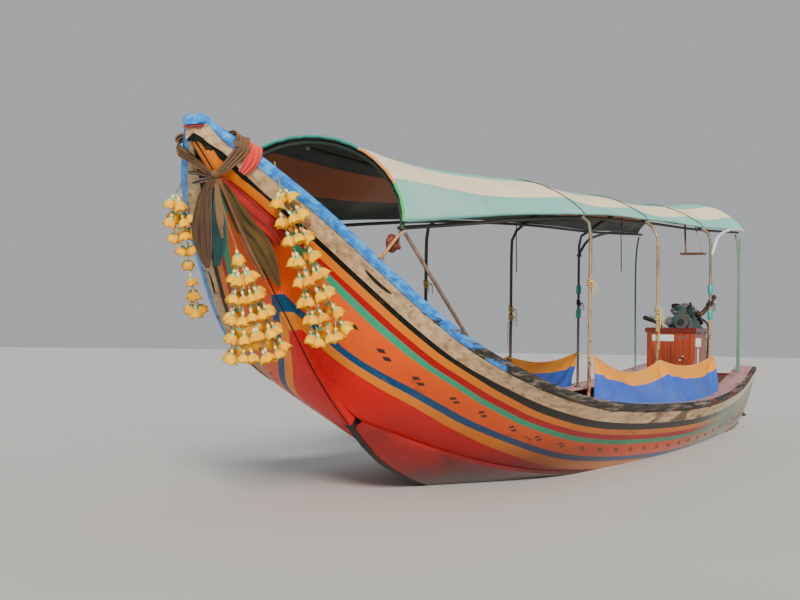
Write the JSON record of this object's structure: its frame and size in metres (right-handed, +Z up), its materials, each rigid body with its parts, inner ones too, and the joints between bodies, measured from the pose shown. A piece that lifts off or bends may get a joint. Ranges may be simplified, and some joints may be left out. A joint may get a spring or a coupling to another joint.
{
  "type": "longtail boat",
  "caption": "Wooden longtail passenger boat with a high raked prow, striped planking, arched cloth canopy, driver's seat box and a swivelling engine with a long tail shaft.",
  "frame": {"origin": "on the waterline at the centreline, midway along the hull", "axes": "+X towards the bow, +Y to port, +Z up"},
  "size_m": [11.5452, 1.9106, 2.6125],
  "materials": {
    "keel": "weathered dark paint",
    "bottom_paint": "red paint over planking",
    "topside_paint": "painted stripes, mainly orange",
    "strake_paint": "worn beige paint",
    "rail_paint": "worn blue paint",
    "deck_paint": "worn pink and red paint",
    "bare_timber": "oiled timber",
    "floor_timber": "bare worn timber",
    "canopy_steel": "chipped cream and green paint",
    "canopy_cloth": "teal and cream striped cloth",
    "curtain_cloth": "blue and orange cloth",
    "sash_cloth": "faded gauze in several colours",
    "marigold": "orange yellow flowers",
    "box_varnish": "rust orange varnish",
    "white_plastic": "satin",
    "drive_iron": "oily, worn",
    "engine_paint": "oily paint",
    "propeller_bronze": "worn bright"
  },
  "bodies": {
    "hull": {"keel_and_stem": "keel", "bottom_planking_port": "bottom_paint", "topside_port": "topside_paint", "sheer_strake_port": "strake_paint", "cap_rail_port": "rail_paint", "side_deck_port": "deck_paint", "canopy_rail_port": "canopy_steel", "aft_post_port": "canopy_steel", "front_strut_port": "canopy_steel", "splash_curtain_port": "curtain_cloth", "garland_port": "marigold", "bottom_planking_starboard": "bottom_paint", "topside_starboard": "topside_paint", "sheer_strake_starboard": "strake_paint", "cap_rail_starboard": "rail_paint", "side_deck_starboard": "deck_paint", "canopy_rail_starboard": "canopy_steel", "aft_post_starboard": "canopy_steel", "front_strut_starboard": "canopy_steel", "splash_curtain_starboard": "curtain_cloth", "garland_starboard": "marigold", "prow_cap": "rail_paint", "transom": "deck_paint", "frames": "bare_timber", "engine_beam": "bare_timber", "bench_1": "bare_timber", "bench_2": "bare_timber", "bench_3": "bare_timber", "bench_4": "bare_timber", "bench_5": "bare_timber", "bench_6": "bare_timber", "floor_boards": "floor_timber", "foredeck": "floor_timber", "canopy_cover": "canopy_cloth", "ridge_rail": "canopy_steel", "canopy_hoop_1": "canopy_steel", "canopy_hoop_2": "canopy_steel", "canopy_hoop_3": "canopy_steel", "canopy_hoop_4": "canopy_steel", "garland_centre": "marigold", "prow_sash": "sash_cloth", "prow_tails": "sash_cloth", "seat_box": "box_varnish", "switch_box": "white_plastic", "swivel_socket": "drive_iron"},
    "lid": {"seat_box_lid": "box_varnish"},
    "swivel": {"swivel_yoke": "drive_iron"},
    "tail": {"engine_cradle": "drive_iron", "engine_block": "engine_paint", "exhaust": "drive_iron", "tiller": "drive_iron", "shaft_tube": "drive_iron"},
    "propeller": {"propeller": "propeller_bronze"}
  },
  "joints": [
    {"name": "seat_box_lid_hinge", "type": "hinge", "parent": "hull", "child": "lid", "pos_m": [-2.7, 0.499, 0.975], "axis": [-1, 0, 0], "range_deg": [0, 90]},
    {"name": "steering", "type": "hinge", "parent": "hull", "child": "swivel", "pos_m": [-4, 0, 0.7], "axis": [0, 0, 1], "range_deg": [-30, 30]},
    {"name": "tail_tilt", "type": "hinge", "parent": "swivel", "child": "tail", "pos_m": [-4, 0, 0.85], "axis": [0, 1, 0], "range_deg": [0, 22]},
    {"name": "propeller_spin", "type": "hinge", "parent": "tail", "child": "propeller", "pos_m": [-4.0212, 0, 0.90826], "axis": [0.9397, 0, 0.342], "continuous": true}
  ]
}
